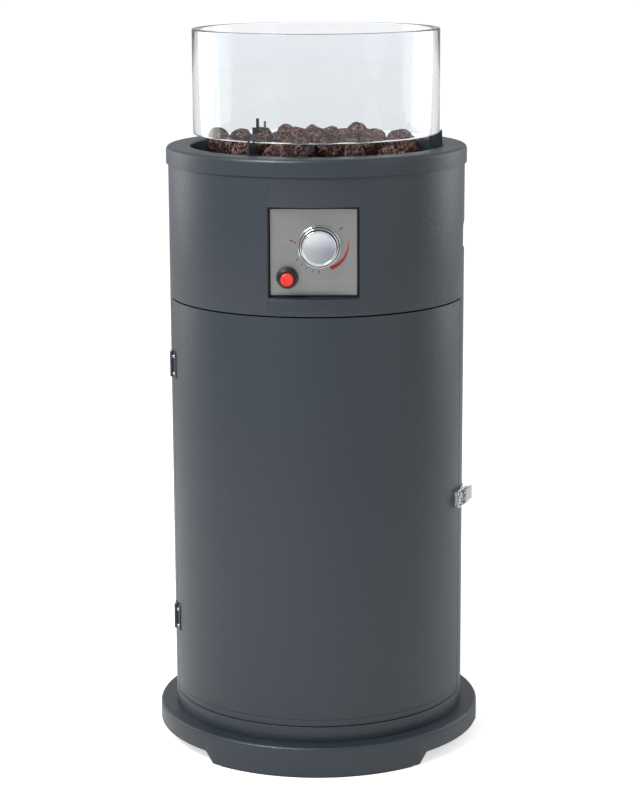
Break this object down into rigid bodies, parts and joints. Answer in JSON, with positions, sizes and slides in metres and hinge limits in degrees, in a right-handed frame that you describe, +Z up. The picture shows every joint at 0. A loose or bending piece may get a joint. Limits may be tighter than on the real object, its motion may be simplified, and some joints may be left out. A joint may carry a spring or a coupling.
{
  "type": "outdoor gas heater",
  "caption": "Round column gas heater with a hinged cabinet door, control panel, lava stone burner and a clear glass wind guard on top.",
  "frame": {"origin": "centre of the floor area under the base", "axes": "+Z up, -Y the front with the door and the control panel, +X the right side with the latch"},
  "size_m": [0.4006, 0.4006, 0.877],
  "materials": {
    "slate_paint": "textured powder coat",
    "black_paint": "satin heat-resistant paint",
    "panel_steel": "brushed",
    "knob_chrome": "polished",
    "knob_satin": "satin",
    "knob_black": "matte",
    "button_red": "semi-gloss",
    "zinc_steel": "zinc plated",
    "lava_rock": "porous",
    "clear_glass": "clear",
    "foot_rubber": "matte",
    "brass_fitting": "plain",
    "white_ceramic": "glazed",
    "burner_steel": "heat dulled"
  },
  "bodies": {
    "cabinet": {"base_plate": "slate_paint", "rubber_feet": "foot_rubber", "cylinder_ring": "black_paint", "plinth_ring": "slate_paint", "rear_shell": "slate_paint", "upper_housing": "slate_paint", "middle_shelf": "black_paint", "top_cap": "slate_paint", "burner_pan": "black_paint", "burner": "burner_steel", "mixer_tube": "burner_steel", "mixer_nut": "burner_steel", "heat_shield": "zinc_steel", "shield_posts": "zinc_steel", "injector": "brass_fitting", "electrode_bracket": "zinc_steel", "electrode_insulator": "white_ceramic", "electrode_wire": "burner_steel", "thermocouple": "burner_steel", "ignition_shield": "black_paint", "lava_stones": "lava_rock", "glass_bracket_left": "slate_paint", "glass_bracket_right": "slate_paint", "glass_bracket_rear": "slate_paint", "bracket_screws": "zinc_steel", "control_panel": "panel_steel", "panel_tray": "black_paint", "knob_bezel": "knob_chrome", "gas_valve": "brass_fitting", "inlet_fitting": "brass_fitting", "igniter_nose": "knob_black", "igniter_body": "knob_black", "igniter_nut": "knob_black", "gas_pipe": "zinc_steel", "upper_hinge_shell_leaf": "slate_paint", "upper_hinge_pin": "zinc_steel", "lower_hinge_shell_leaf": "slate_paint", "lower_hinge_pin": "zinc_steel", "hinge_shell_rivets": "zinc_steel", "latch_base": "zinc_steel", "latch_pin": "zinc_steel", "shell_screws": "zinc_steel"},
    "door": {"door_shell": "slate_paint", "door_stiles": "slate_paint", "upper_hinge_door_leaf": "slate_paint", "lower_hinge_door_leaf": "slate_paint", "hinge_door_rivets": "zinc_steel", "latch_catch": "zinc_steel", "catch_rivets": "zinc_steel"},
    "latch_lever": {"latch_lever": "zinc_steel"},
    "latch_bail": {"latch_bail": "zinc_steel"},
    "knob_plunger": {"stem_collar": "brass_fitting"},
    "knob": {"control_knob": "knob_black", "knob_face": "knob_satin", "valve_stem": "zinc_steel"},
    "igniter_plunger": {"igniter_button": "button_red"},
    "glass": {"glass_guard": "clear_glass"}
  },
  "joints": [
    {"name": "door_hinge", "type": "hinge", "parent": "cabinet", "child": "door", "pos_m": [-0.17635, -0.04659, 0.315], "axis": [0, 0, -1], "range_deg": [0, 120]},
    {"name": "latch_lever_hinge", "type": "hinge", "parent": "cabinet", "child": "latch_lever", "pos_m": [0.18027, -0.04349, 0.309], "axis": [0, 0, -1], "range_deg": [0, 65]},
    {"name": "latch_bail_hinge", "type": "hinge", "parent": "latch_lever", "child": "latch_bail", "pos_m": [0.18431, -0.03525, 0.309], "axis": [0, 0, 1], "range_deg": [0, 48]},
    {"name": "knob_push", "type": "slide", "parent": "cabinet", "child": "knob_plunger", "axis": [0, 1, 0], "range_m": [0, 0.003], "stiffness_N_per_m": 300, "springref_m": -0.002},
    {"name": "knob_turn", "type": "hinge", "parent": "knob_plunger", "child": "knob", "pos_m": [0.0065, -0.18, 0.636], "axis": [0, -1, 0], "range_deg": [0, 225]},
    {"name": "igniter_press", "type": "slide", "parent": "cabinet", "child": "igniter_plunger", "axis": [0, 1, 0], "range_m": [0, 0.0035], "stiffness_N_per_m": 500, "springref_m": -0.002},
    {"name": "glass_lift", "type": "slide", "parent": "cabinet", "child": "glass", "axis": [0, 0, 1], "range_m": [0, 0.15]}
  ],
  "couplings": [
    {"joint": "latch_bail_hinge", "follows": "latch_lever_hinge", "ratio": 0.72}
  ]
}
